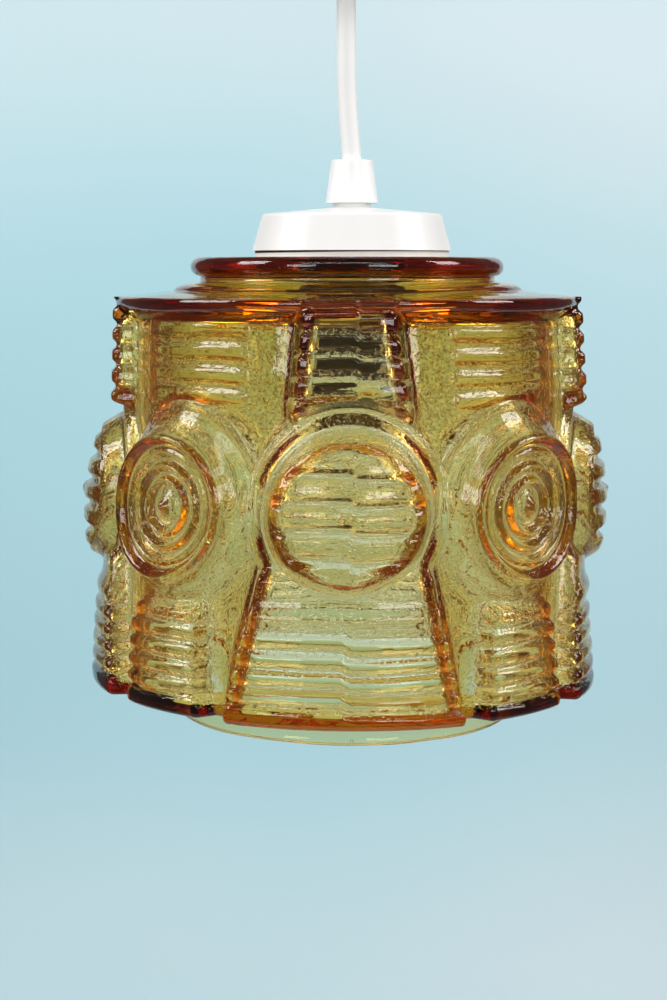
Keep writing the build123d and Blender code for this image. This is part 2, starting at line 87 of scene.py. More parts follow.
class Number:
    """A number running through a material's nodes, which arithmetic can be written with."""

    def __init__(self, shader, socket):
        self.shader = shader
        self.socket = socket

    def maths(self, operation, *values):
        node = self.shader.add("ShaderNodeMath", {"operation": operation}, dict(enumerate(values)))
        return Number(self.shader, node.outputs[0])

    def __add__(self, other):
        return self.maths("ADD", self, other)

    def __radd__(self, other):
        return self.maths("ADD", other, self)

    def __sub__(self, other):
        return self.maths("SUBTRACT", self, other)

    def __rsub__(self, other):
        return self.maths("SUBTRACT", other, self)

    def __mul__(self, other):
        return self.maths("MULTIPLY", self, other)

    def __rmul__(self, other):
        return self.maths("MULTIPLY", other, self)

    def between(self, low, high):
        """0 below low, 1 above high, and a soft step in between."""
        settings = {"interpolation_type": "SMOOTHSTEP"}
        node = self.shader.add("ShaderNodeMapRange", settings, {0: self, 1: low, 2: high})
        return Number(self.shader, node.outputs[0])


class Shader:
    """A new material, and the means to add nodes to it."""

    def __init__(self, name):
        self.material = bpy.data.materials.new(name)
        self.material.use_nodes = True
        self.tree = self.material.node_tree
        self.tree.nodes.clear()
        self.output = self.add("ShaderNodeOutputMaterial")
        self.place = self.add("ShaderNodeTexCoord").outputs["Object"]

    def add(self, kind, settings=None, sockets=None):
        """A node of this kind, with its settings made first and then its sockets fed."""
        node = self.tree.nodes.new(kind)
        for name, value in (settings or {}).items():
            setattr(node, name, value)
        for key, value in (sockets or {}).items():
            self.feed(node.inputs[key], value)
        return node

    def feed(self, socket, value):
        if isinstance(value, Number):
            value = value.socket
        if isinstance(value, bpy.types.NodeSocket):
            self.tree.links.new(value, socket)
        else:
            socket.default_value = value

    def noise(self, scale, detail=3.0, roughness=0.55, stretch=(1, 1, 1)):
        """Soft noise from 0 to 1; scale is in waves to the metre."""
        settings = {"operation": "MULTIPLY"}
        stretched = self.add("ShaderNodeVectorMath", settings, {0: self.place, 1: stretch})
        sockets = {
            "Vector": stretched.outputs[0],
            "Scale": scale,
            "Detail": detail,
            "Roughness": roughness,
        }
        node = self.add("ShaderNodeTexNoise", {"noise_dimensions": "3D"}, sockets)
        return Number(self, node.outputs[0])

    def spots(self, scale, size):
        """1 in small round spots scattered through space, 0 elsewhere."""
        settings = {"feature": "F1", "voronoi_dimensions": "3D"}
        node = self.add("ShaderNodeTexVoronoi", settings, {"Vector": self.place, "Scale": scale})
        return 1 - Number(self, node.outputs[0]).between(size * 0.6, size)

    def blend(self, amount, first, second):
        """A colour between first and second."""
        settings = {"data_type": "RGBA"}
        node = self.add("ShaderNodeMix", settings, {0: amount, 6: first, 7: second})
        return node.outputs[2]

    def bump(self, height, distance, strength=1.0):
        sockets = {"Height": height, "Distance": distance, "Strength": strength}
        return self.add("ShaderNodeBump", None, sockets).outputs[0]

    def surface(self, **sockets):
        """The principled surface, which becomes the material's own."""
        named = {name.replace("_", " "): value for name, value in sockets.items()}
        node = self.add("ShaderNodeBsdfPrincipled", None, named)
        self.feed(self.output.inputs["Surface"], node.outputs[0])
        return self.material


def opaque(colour, shade=1.0):
    """The colour with its alpha, darkened by shade."""
    return (colour[0] * shade, colour[1] * shade, colour[2] * shade, 1.0)


# ------------------------------------------------------------------ materials


def white_plastic(finish):
    """Glossy white moulding, a touch warmer in places, with a faint orange-peel surface."""
    shader = Shader("white_plastic")
    tone = shader.noise(35, 4)
    handled = shader.noise(60, 3, 0.5)
    grain = shader.noise(1800, 2)
    colour = shader.blend(tone, opaque(finish.white), opaque(finish.white, 0.965))
    normal = shader.bump(grain + tone * 2, 0.00002, 0.4)
    return shader.surface(
        Base_Color=colour,
        Roughness=0.3 + handled * 0.08,
        Normal=normal,
        IOR=1.49,
        Subsurface_Weight=0.12,
        Subsurface_Radius=(0.003, 0.003, 0.0025),
    )


def flex_sheath(finish):
    """Smooth PVC with faint lengthwise drawing lines."""
    shader = Shader("white_flex")
    lines = shader.noise(900, 2, 0.5, (1, 1, 0.02))
    tone = shader.noise(60, 3)
    colour = shader.blend(tone, opaque(finish.white), opaque(finish.white, 0.95))
    return shader.surface(
        Base_Color=colour,
        Roughness=0.4 + tone * 0.12,
        Normal=shader.bump(lines, 0.00004, 0.6),
        IOR=1.5,
    )


def wire_insulation(finish):
    shader = Shader("wire_insulation")
    tone = shader.noise(250, 3)
    colour = shader.blend(tone, opaque(finish.wire), opaque(finish.wire, 0.8))
    return shader.surface(Base_Color=colour, Roughness=0.42 + tone * 0.1, IOR=1.5)


def bakelite(finish):
    """Black thermoset with flow marks and fine dust in the hollows."""
    shader = Shader("black_bakelite")
    flow = shader.noise(70, 6, 0.65)
    dust = shader.noise(420, 5, 0.7).between(0.55, 0.8)
    colour = shader.blend(dust * 0.25, opaque(finish.black), opaque(finish.dust))
    return shader.surface(
        Base_Color=colour,
        Roughness=0.27 + flow * 0.14 + dust * 0.2,
        Normal=shader.bump(flow, 0.0001, 0.3),
        IOR=1.55,
    )


def ceramic(finish):
    """Unglazed steatite: chalky, speckled and slightly pitted."""
    shader = Shader("ceramic")
    speck = shader.noise(900, 4, 0.7).between(0.45, 0.7)
    pits = shader.noise(1500, 3)
    colour = shader.blend(speck, opaque(finish.ceramic), opaque(finish.ceramic, 0.86))
    return shader.surface(
        Base_Color=colour,
        Roughness=0.62 + speck * 0.2,
        Normal=shader.bump(pits, 0.00006, 0.7),
        IOR=1.5,
    )


def pressed_metal(name, colour, dull, roughness):
    """Pressed or plated metal with fine drawing marks and duller patches."""
    shader = Shader(name)
    marks = shader.noise(1400, 3, 0.6, (1, 1, 0.08))
    patches = shader.noise(160, 5, 0.6).between(0.45, 0.75)
    return shader.surface(
        Base_Color=shader.blend(patches, opaque(colour), opaque(dull)),
        Metallic=1.0,
        Roughness=roughness + patches * 0.18 + marks * 0.08,
        Normal=shader.bump(marks, 0.00003, 0.5),
    )


def rubber_and_gap_shade(finish):
    """Pale washer, with painted shade along its upper edge where it stands a little off the cap."""
    shader = Shader("washer_rubber")
    bloom = shader.noise(260, 5, 0.65)
    box = shader.add("ShaderNodeTexCoord").outputs["Generated"]
    split = shader.add("ShaderNodeSeparateXYZ", None, {0: box})
    gap = Number(shader, split.outputs[2]) + (1 - Number(shader, split.outputs[0])) * 0.35
    # Painted shade: the upper edge, more of it towards one side, darkens to the gap colour in place
    # of the shadow under the cap
    painted_gap_shade = gap.between(0.9, 1.0)
    pale = shader.blend(bloom, opaque(finish.white), opaque(finish.white, 0.85))
    return shader.surface(
        Base_Color=shader.blend(painted_gap_shade, pale, opaque(finish.rubber_and_gap_shade)),
        Roughness=0.55 + bloom * 0.15,
        Normal=shader.bump(shader.noise(2200, 2), 0.00005, 0.6),
        IOR=1.5,
    )


def amber_glass(glass):
    """Clear amber glass, its colour taken up through its thickness, stippled by the mould."""
    shader = Shader("amber_glass")
    texture = shader.add("ShaderNodeAttribute", {"attribute_name": "stipple"}).outputs["Fac"]
    stippled = Number(shader, texture)
    grain = shader.noise(850, 1, 0.5).between(0.55, 0.66)
    ripple = shader.noise(95, 2, 0.5)
    bubbles = shader.spots(130, 0.07)
    height = grain * stippled + ripple * 0.5 + bubbles * 0.4
    shader.surface(
        Base_Color=(1, 1, 1, 1),
        Roughness=0.015 + stippled * 0.03,
        IOR=glass.ior,
        Transmission_Weight=1.0,
        Normal=shader.bump(height, glass.stipple_depth, 1.0),
    )
    sockets = {"Color": opaque(glass.tint), "Density": glass.density}
    inside = shader.add("ShaderNodeVolumeAbsorption", None, sockets)
    shader.feed(shader.output.inputs["Volume"], inside.outputs[0])
    return shader.material


def backdrop_paint(stage):
    """Matt pale blue wall and floor, brushed on in soft uneven clouds, with painted light that
    makes it paler up the wall, on the floor and towards the right.
    """
    shader = Shader("backdrop_paint")
    clouds = shader.noise(2.2, 4, 0.5, (0.45, 1, 1)).between(0.3, 0.75)
    split = shader.add("ShaderNodeSeparateXYZ", None, {0: shader.place})
    height = Number(shader, split.outputs[2])
    # Painted light: paler high on the wall, low down over the floor and cove, and towards the right
    pale = height.between(-0.2, 0.12) * 0.7 + (0 - height).between(0.5, 0.8) * 0.6
    pale = pale + Number(shader, split.outputs[0]).between(-0.1, 0.35) * 0.35
    colour = shader.blend(pale + clouds * 0.2, opaque(stage.wall), opaque(stage.wall_cloud_and_light))
    return shader.surface(Base_Color=colour, Roughness=0.85 + clouds * 0.1)


# ------------------------------------------------------------------ the glass relief


def step(value, low, high):
    """0 where value is at or below low, 1 at or above high, a straight slope in between."""
    return np.clip((value - low) / (high - low), 0, 1)


def rib_wave(height, top, pitch):
    """Flat-topped ribs with narrower grooves between them: 1 on a rib and 0 in a groove."""
    across = np.mod(top - height, pitch) / pitch
    return step(1 - np.abs(2 * across - 1), 0.22, 0.52)


def soften(field, across, down):
    """Gaussian blur of a field that wraps round, by so many columns and rows."""
    rows = field.shape[0]
    doubled = np.concatenate([field, field[::-1]])
    column_waves = np.fft.fftfreq(doubled.shape[1])[None, :] * across
    row_waves = np.fft.fftfreq(doubled.shape[0])[:, None] * down
    filtered = np.fft.fft2(doubled) * np.exp(-2 * pi**2 * (column_waves**2 + row_waves**2))
    return np.real(np.fft.ifft2(filtered))[:rows]


def lowest_near(field, across, down):
    """The lowest value within so many columns and rows."""
    lowest = field
    for shift in range(1, across + 1):
        lowest = np.minimum(lowest, np.minimum(np.roll(field, shift, 1), np.roll(field, -shift, 1)))
    field = lowest
    padded = np.pad(field, ((down, down), (0, 0)), mode="edge")
    for shift in range(2 * down + 1):
        lowest = np.minimum(lowest, padded[shift:shift + field.shape[0]])
    return lowest


def wander(seed, shape, across, down):
    """Seeded smooth unevenness with a spread of about 1."""
    rough = np.random.default_rng(seed).normal(size=shape)
    smooth = soften(rough, across, down)
    return smooth / smooth.std()


def drum_relief(glass, turn, height):
    """Radius of the drum's outside over a grid of angles and heights, and its stipple.

    turn is the angle from the front, in radians, and height is metres above the lid's top, so
    it is negative all the way down. Four upright columns of blocks stand at the front, back and
    sides and four more between them, each with a round boss at its middle.
    """
    flare = FLARE * (glass.boss_height - height)
    quarter = pi / 2
    from_a = np.mod(turn + quarter / 2, quarter) - quarter / 2
    from_b = np.mod(turn, quarter) - quarter / 2
    beside_a = glass.drum_radius * np.sin(from_a)
    beside_b = glass.drum_radius * np.sin(from_b)
    drop = height - glass.boss_height
    around_a = np.hypot(beside_a, drop)
    around_b = np.hypot(beside_b, drop)
    uneven = wander(3, height.shape, 9, 7) * 0.22 * MM
    wide = wander(8, height.shape, 30, 22) * 0.3 * MM

    # The two mould halves met a little out of step at the front and the back
    seam_at = 2.4 * MM + 0.0216 * (height + 33 * MM)
    seam = step(glass.drum_radius * np.sin(turn), seam_at - 0.5 * MM, seam_at + 0.5 * MM)
    level = height + seam * glass.seam_step + uneven

    valley = glass.valley_radius + flare
    radius = valley + wide * 0.6
    stipple = np.ones_like(height)

    # Level ribs over the tops of the diagonal columns
    ribs = rib_wave(level, UPPER_RIBS_B, glass.top_pitch)
    half = 24.6 * MM + 1.6 * MM * ribs
    field = (1 - step(np.abs(beside_b), half - 1.6 * MM, half)) * step(height, -49 * MM, -47 * MM)
    ribbed = valley - 0.9 * MM + glass.rib_height * 1.3 * ribs
    radius = radius + (ribbed - radius) * field
    stipple = stipple * (1 - 0.9 * field * step(ribs, 0.3, 0.8))

    # Raised blocks over the tops of the main columns
    ribs = rib_wave(level, UPPER_RIBS_A, glass.top_pitch)
    down = -24 * MM - height
    half = 14.0 * MM + 0.12 * down + 0.9 * MM * ribs
    foot = 18.6 * MM + 0.105 * down + 0.5 * MM * ribs
    block = (1 - step(np.abs(beside_a), half, foot)) * step(around_a, 32 * MM, 35.4 * MM)
    block = block * step(height, -70 * MM, -60 * MM)
    face = 82.0 * MM + flare + glass.rib_height * ribs
    radius = np.maximum(radius, valley + (face - valley) * block)
    stipple = stipple * (1 - block * step(ribs, 0.35, 0.8))

    # Trapezoid blocks at the feet of the main columns
    ribs = rib_wave(level, LOWER_RIBS, glass.foot_pitch) * step(-height, 115 * MM, 116 * MM)
    down = -95 * MM - height
    half = 25.6 * MM + 0.19 * down + 0.5 * MM * ribs
    foot = half + 2.2 * MM - 0.01 * down
    block = (1 - step(np.abs(beside_a), half, foot)) * step(-height, 93 * MM, 99 * MM)
    swell = 1.6 * MM * np.exp(-(((height + 111 * MM) / (3 * MM)) ** 2))
    face = 81.6 * MM + flare + swell + glass.rib_height * 1.1 * ribs
    radius = np.maximum(radius, valley + (face - valley) * block)
    stipple = stipple * (1 - block * step(ribs, 0.3, 0.75))

    # Narrower blocks at the feet of the diagonal columns
    half = 12.5 * MM + 0.055 * (-100 * MM - height) + 0.8 * MM * ribs
    block = (1 - step(np.abs(beside_b), half, half + 2.5 * MM)) * step(-height, 107 * MM, 112 * MM)
    swell = 0.9 * MM * np.exp(-(((height + 112 * MM) / (2.5 * MM)) ** 2))
    face = 80.0 * MM + flare + swell + glass.rib_height * ribs
    radius = np.maximum(radius, valley + (face - valley) * block)
    stipple = stipple * (1 - block * step(ribs, 0.3, 0.75))

    # A flat collar round every boss
    edge = glass.collar_radius
    collar = 78.6 * MM + flare
    around = step(around_a, edge, edge + 1.8 * MM)
    radius = np.maximum(radius, valley + (collar - valley) * (1 - around))
    stipple = stipple * (0.35 + 0.65 * around)
    collar = 77 * MM + 3.6 * MM * (1 - step(around_b, glass.boss_foot, edge)) + 0.3 * flare
    around = step(around_b, edge, edge + 1.8 * MM)
    radius = np.maximum(radius, valley + (collar - valley) * (1 - around))
    stipple = stipple * (0.35 + 0.65 * around)

    # The main bosses: domed, with broad level ribs across
    ribs = rib_wave(level, glass.boss_height - 4.2 * MM, glass.boss_pitch)
    inside = around_a / glass.boss_radius
    dome = 85.9 * MM + 0.08 * -drop + 3.0 * MM * np.clip(1 - inside**2, 0, 1)
    within = 1 - step(inside, 0.86, 1.0)
    dome = dome + within * (glass.rib_height * 1.25 * ribs - 0.9 * MM)
    nub = 1.1 * MM * np.exp(-((around_a / (2.2 * MM)) ** 2))
    base = np.minimum(radius, 80 * MM)
    boss = 1 - step(around_a, glass.boss_radius, glass.boss_foot)
    radius = np.maximum(radius, base + (dome + nub - base) * boss)
    stipple = np.maximum(stipple, within * 0.5 * (1 - step(ribs, 0.4, 0.8)))

    # The diagonal bosses: a raised rim and rings inside it, round a pointed middle
    rings = np.cos(2 * pi * (around_b - 8.3 * MM) / glass.ring_pitch)
    dish = 81.6 * MM + 0.8 * MM * step(around_b, 6 * MM, 18 * MM) + 0.04 * -drop
    dish = dish + glass.ring_height * rings * step(around_b, 4.4 * MM, 6 * MM)
    dish = dish + 2.8 * MM * np.exp(-((around_b / (2.4 * MM)) ** 2))
    rim = 86.0 * MM + 0.04 * -drop
    dish = dish + (rim - dish) * step(around_b, 17.6 * MM, glass.boss_radius - 0.6 * MM)
    boss = 1 - step(around_b, glass.boss_radius, glass.boss_foot)
    base = np.minimum(radius, 80.6 * MM)
    shaped = base + (dish - base) * boss
    radius = np.where(around_b < glass.boss_foot, np.maximum(shaped, base), radius)

    return radius + uneven * 0.35, stipple


def shoulder_edge(height):
    """Radius of the rounded shoulder that overhangs the drum."""
    heights = np.array([-24, -21, -19, -17.2, -15.6, -14.2, -13.3]) * MM
    radii = np.array([60, 71.0, 74.2, 76.8, 77.9, 77.9, 77.1]) * MM
    return np.interp(height, heights, radii)


def shade_rows(glass):
    """The rows of the shade's skin, from the hole out over the lid, down, in and back up."""
    columns = glass.columns
    turn = np.arange(columns) * 2 * pi / columns
    heights = np.arange(DRUM_TOP, DRUM_FOOT, -glass.row_step)
    grid_turn, grid_height = np.meshgrid(turn, heights)
    relief, stipple = drum_relief(glass, grid_turn, grid_height)
    across = EDGE_BLUR / (2 * pi * glass.drum_radius / columns)
    down = EDGE_BLUR / glass.row_step
    shoulder = shoulder_edge(grid_height) + 0.25 * MM * wander(5, relief.shape, 14, 12)
    outside = soften(np.maximum(relief, shoulder), across, down)
    stipple = soften(stipple, across, down)
    stipple = stipple * step(-grid_height, 19 * MM, 23 * MM)

    # The glass was blown outwards, so it is thinnest where it reached furthest into the mould
    smooth = soften(relief, across * 7, down * 7)
    reach = smooth - glass.valley_radius - FLARE * (glass.boss_height - grid_height)
    thickness = np.clip(glass.wall * 1.45 - 0.5 * reach, glass.wall * 0.45, glass.wall * 1.6)
    hollow = soften(lowest_near(relief, 3, 4), across * 2.5, down * 2.5) - glass.wall * 0.5
    inside = np.minimum(smooth - thickness, hollow)

    wobble = wander(11, (8, columns), 16, 3)[4] * MM
    rows = []

    def add(radius, height, mask=0.0):
        rows.append((np.broadcast_to(radius, columns), np.broadcast_to(height, columns),
                     np.broadcast_to(mask, columns)))

    # Lid and its rounded bead, the groove under it and the second tier
    for radius in (23.0, 26, 30, 36, 42, 46):
        add(radius * MM, -0.2 * MM)
    for i in range(13):
        angle = radians(90 - i * 15)
        add((50.4 + 3.2 * cos(angle)) * MM + 0.22 * wobble, (-3.4 + 3.2 * sin(angle)) * MM)
    add(50.4 * MM + 0.2 * wobble, -7.2 * MM)
    add(50.4 * MM + 0.2 * wobble, -8.1 * MM)
    for i in range(9):
        angle = radians(90 - i * 11)
        add((51.2 + 8.4 * sin(radians(i * 11))) * MM + 0.2 * wobble,
            (-11.4 + 2.8 * sin(angle)) * MM + 0.12 * wobble)
    for i in range(1, 12):
        along = i / 12
        add((59.6 + 15.9 * along) * MM, (-11.5 - 1.7 * along) * MM + 0.22 * wobble)
    add(76.4 * MM + 0.2 * wobble, -13.3 * MM)

    for row in range(len(heights)):
        add(outside[row], heights[row], stipple[row])

    # Round the foot, in under the drum and down the open collar
    foot = outside[-1]
    for i in range(1, 7):
        angle = radians(i * 15)
        add(foot - 1.6 * MM * (1 - cos(angle)), DRUM_FOOT - 2.6 * MM * sin(angle))
    neck = 58.0 * MM + 0.2 * wobble
    for i in range(1, 16):
        along = i / 16
        add(foot - 1.6 * MM + (neck + 2 * MM - foot + 1.6 * MM) * along, -145.0 * MM)
    for i in range(1, 6):
        angle = radians(i * 18)
        add(neck + 2 * MM * (1 - sin(angle)), -147.0 * MM + 2 * MM * cos(angle))
    for height in np.linspace(-148.5, -154.6, 5):
        add(neck, height * MM)
    rim = RIM_Z - LID_Z - 0.5 * MM + 0.2 * MM * (1 + np.clip(wobble / MM, -1, 1))
    for i in range(1, 12):
        angle = radians(i * 15)
        add(neck - 1.5 * MM * (1 - cos(angle)), rim + 1.5 * MM * (1 - sin(angle)))
    mouth = neck - 3.0 * MM
    for height in np.linspace(-153, -144.6, 6):
        add(mouth, height * MM)
    for i in range(1, 6):
        angle = radians(i * 18)
        add(mouth + 2 * MM * (1 - cos(angle)), -144.2 * MM + 2 * MM * sin(angle))

    # Inside: out over the floor, up the wall and in under the shoulder and the lid
    lowest = np.searchsorted(-heights, 138.5 * MM)
    floor_edge = inside[lowest]
    for i in range(1, 12):
        along = i / 12
        add(mouth + 2 * MM + (floor_edge - 3.4 * MM - mouth - 2 * MM) * along, -142.2 * MM)
    for i in range(1, 6):
        angle = radians(i * 18)
        add(floor_edge - 3.4 * MM * (1 - sin(angle)), -138.8 * MM - 3.4 * MM * cos(angle))
    highest = np.searchsorted(-heights, 23.0 * MM)
    for row in range(lowest, highest, -2):
        add(inside[row], heights[row], 0.25 * stipple[row])
    top = inside[highest]
    for i in range(1, 7):
        angle = radians(i * 15)
        add(top - 4.4 * MM * (1 - cos(angle)), -23.0 * MM + 4.4 * MM * sin(angle))
    for i in range(1, 10):
        along = i / 10
        add(top - 4.4 * MM + (54 * MM - top + 4.4 * MM) * along, (-18.6 + 2.4 * along) * MM)
    for radius, height in ((51, -15.6), (48.8, -14.2), (47.6, -12.2), (47.2, -10), (46.8, -8.2),
                           (45.6, -7.0), (43, -6.7), (36, -6.6), (30, -6.6), (26, -6.6),
                           (23.4, -6.6), (22.7, -6.0), (22.5, -5.0), (22.5, -2.0), (22.6, -0.7)):
        add(radius * MM, height * MM)
    return turn, rows


def skin_from_rows(name, turn, rows):
    """A closed ring-shaped mesh from rows that go round its section and back to the start."""
    columns = len(turn)
    radius = np.array([row[0] for row in rows])
    height = np.array([row[1] for row in rows])
    lean = np.interp(-height, np.array([0, 14, 45, 80, 125, 157]) * MM,
                     np.array([0, 0.5, 1.1, 0, -1.2, -0.6]) * MM)
    across = radius * np.sin(turn)
    sag = 0.011 * across * step(-height, 80 * MM, 145 * MM)
    points = np.stack([across + lean, -radius * np.cos(turn), height - sag + LID_Z], axis=2)
    here = np.arange(len(rows) * columns).reshape(len(rows), columns)
    below = np.roll(here, -1, axis=0)
    corners = [here, below, np.roll(below, -1, axis=1), np.roll(here, -1, axis=1)]
    faces = np.stack(corners, axis=2).reshape(-1, 4)
    mesh = bpy.data.meshes.new(name)
    mesh.from_pydata(points.reshape(-1, 3).tolist(), [], faces.tolist())
    mesh.shade_smooth()
    layer = mesh.attributes.new("stipple", "FLOAT", "POINT")
    layer.data.foreach_set("value", np.array([row[2] for row in rows]).ravel().astype(np.float32))
    mesh.validate()
    return mesh


# ------------------------------------------------------------------ settings


class StageSettings(bpy.types.PropertyGroup):
    """Camera, lights and backdrop."""

    camera_place: FloatVectorProperty(
        name="Camera", description="Where the camera stands", subtype="TRANSLATION",
        unit="LENGTH", default=(-0.00425, -0.6718, -0.1335), precision=4)
    camera_pitch: FloatProperty(
        name="Pitch", description="How far the camera looks down", subtype="ANGLE",
        default=radians(6.804))
    lens: FloatProperty(
        name="Lens", description="Focal length in millimetres", default=70.3, min=10)
    softbox: FloatProperty(
        name="Softbox", description="Side of each softbox", unit="LENGTH", default=0.45)
    softbox_power: FloatProperty(
        name="Softbox power", description="Power of each softbox", default=4.1, min=0)
    strip_power: FloatProperty(
        name="Strip power", description="Power of the long light above", default=2.4, min=0)
    wash_power: FloatProperty(
        name="Wall power", description="Power of each light on the wall", default=14.8, min=0)
    surround: FloatVectorProperty(
        name="Surround", description="Light of the room outside the set", subtype="COLOR",
        default=(0.13, 0.125, 0.12), min=0, max=1)
    wall: FloatVectorProperty(
        name="Wall", description="Backdrop colour", subtype="COLOR",
        default=(0.42, 0.69, 0.76), min=0, max=1)
    # Paler colour of the clouds, also reached where light is painted on the backdrop
    wall_cloud_and_light: FloatVectorProperty(
        name="Wall clouds", description="Paler clouds in the backdrop", subtype="COLOR",
        default=(0.66, 0.78, 0.82), min=0, max=1)
    wall_distance: FloatProperty(
        name="Wall distance", description="From the lamp to the wall", unit="LENGTH",
        default=1.15)
    floor_height: FloatProperty(
        name="Floor", description="Height of the floor", unit="LENGTH", default=-1.0)


class GlassSettings(bpy.types.PropertyGroup):
    """Sizes and colour of the shade; heights are from the top of its lid."""

    columns: IntProperty(
        name="Columns", description="Points round the shade", default=640, min=64)
    row_step: FloatProperty(
        name="Row step", description="Height between rows of points", unit="LENGTH",
        default=0.6 * MM, precision=5)
    wall: FloatProperty(
        name="Wall", description="Thickness of the drum's wall", unit="LENGTH",
        default=3.5 * MM, precision=5)
    drum_radius: FloatProperty(
        name="Drum", description="Middle radius of the relief", unit="LENGTH", default=80 * MM,
        precision=4)
    valley_radius: FloatProperty(
        name="Valleys", description="Radius between the blocks", unit="LENGTH",
        default=75 * MM, precision=4)
    boss_height: FloatProperty(
        name="Boss height", description="Height of the middle of the bosses", unit="LENGTH",
        default=-78.8 * MM, precision=4)
    boss_radius: FloatProperty(
        name="Boss face", description="Radius of a boss's face", unit="LENGTH",
        default=22.3 * MM, precision=4)
    boss_foot: FloatProperty(
        name="Boss foot", description="Radius of a boss where it meets the drum",
        unit="LENGTH", default=26.4 * MM, precision=4)
    collar_radius: FloatProperty(
        name="Boss collar", description="Outside of the flat ring round a boss",
        unit="LENGTH", default=31.6 * MM, precision=4)
    rib_height: FloatProperty(
        name="Ribs", description="How far a rib stands out", unit="LENGTH",
        default=1.5 * MM, precision=5)
    top_pitch: FloatProperty(
        name="Upper rib pitch", description="Between ribs of the upper blocks",
        unit="LENGTH", default=6.93 * MM, precision=5)
    boss_pitch: FloatProperty(
        name="Boss rib pitch", description="Between ribs of the domed bosses",
        unit="LENGTH", default=8.4 * MM, precision=5)
    foot_pitch: FloatProperty(
        name="Lower rib pitch", description="Between ribs of the lower blocks",
        unit="LENGTH", default=5.75 * MM, precision=5)
    ring_pitch: FloatProperty(
        name="Ring pitch", description="Between rings of the diagonal bosses",
        unit="LENGTH", default=4.55 * MM, precision=5)
    ring_height: FloatProperty(
        name="Rings", description="Half the height of a ring", unit="LENGTH",
        default=1.7 * MM, precision=5)
    seam_step: FloatProperty(
        name="Seam step", description="How far the mould halves were out of step",
        unit="LENGTH", default=1.5 * MM, precision=5)
    stipple_depth: FloatProperty(
        name="Stipple", description="Depth of the stippled texture", unit="LENGTH",
        default=0.42 * MM, precision=5)
    ior: FloatProperty(
        name="IOR", description="Refractive index", default=1.5, min=1, max=2)
    tint: FloatVectorProperty(
        name="Tint", description="Light that the glass lets through", subtype="COLOR",
        default=(0.945, 0.76, 0.02), min=0, max=1)
    density: FloatProperty(
        name="Density", description="How fast the glass takes up light, per metre",
        default=235, min=0)


class FlexSettings(bpy.types.PropertyGroup):
    """The round flex between the rose and the cord grip."""

    diameter: FloatProperty(
        name="Diameter", description="Outside of the sheath", unit="LENGTH",
        default=6.5 * MM, precision=4)
    length: FloatProperty(
        name="Length", description="Between the two mouths", unit="LENGTH",
        default=64.6 * MM, precision=4)


class FinishSettings(bpy.types.PropertyGroup):
    """Colours of the mouldings, the wiring and the metal."""

    white: FloatVectorProperty(
        name="White", description="Mouldings and flex", subtype="COLOR",
        default=(0.88, 0.88, 0.87), min=0, max=1)
    wire: FloatVectorProperty(
        name="Wire", description="Insulation of the single wires", subtype="COLOR",
        default=(0.22, 0.09, 0.04), min=0, max=1)
    black: FloatVectorProperty(
        name="Black", description="Lampholder", subtype="COLOR",
        default=(0.012, 0.011, 0.010), min=0, max=1)
    dust: FloatVectorProperty(
        name="Dust", description="Dust on the lampholder", subtype="COLOR",
        default=(0.10, 0.09, 0.08), min=0, max=1)
    ceramic: FloatVectorProperty(
        name="Ceramic", description="Inside of the lampholder", subtype="COLOR",
        default=(0.78, 0.75, 0.68), min=0, max=1)
    # Colour of the painted shade on the washer's upper edge, in the gap under the cap
    rubber_and_gap_shade: FloatVectorProperty(
        name="Gap", description="Shadowed upper edge of the washer on the glass", subtype="COLOR",
        default=(0.02, 0.018, 0.017), min=0, max=1)
    brass: FloatVectorProperty(
        name="Brass", description="Contacts and screw shell", subtype="COLOR",
        default=(0.83, 0.62, 0.27), min=0, max=1)
    steel: FloatVectorProperty(
        name="Steel", description="Screws and nuts", subtype="COLOR",
        default=(0.66, 0.67, 0.68), min=0, max=1)


# ------------------------------------------------------------------ operators


def link(name, data):
    """A new object in the scene."""
    made = bpy.data.objects.new(name, data)
    bpy.context.scene.collection.objects.link(made)
    return made


def paint(names, material):
    """Gives CAD nodes this material on every slot."""
    for name in names:
        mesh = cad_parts[name].data
        mesh.materials.clear()
        mesh.materials.append(material)


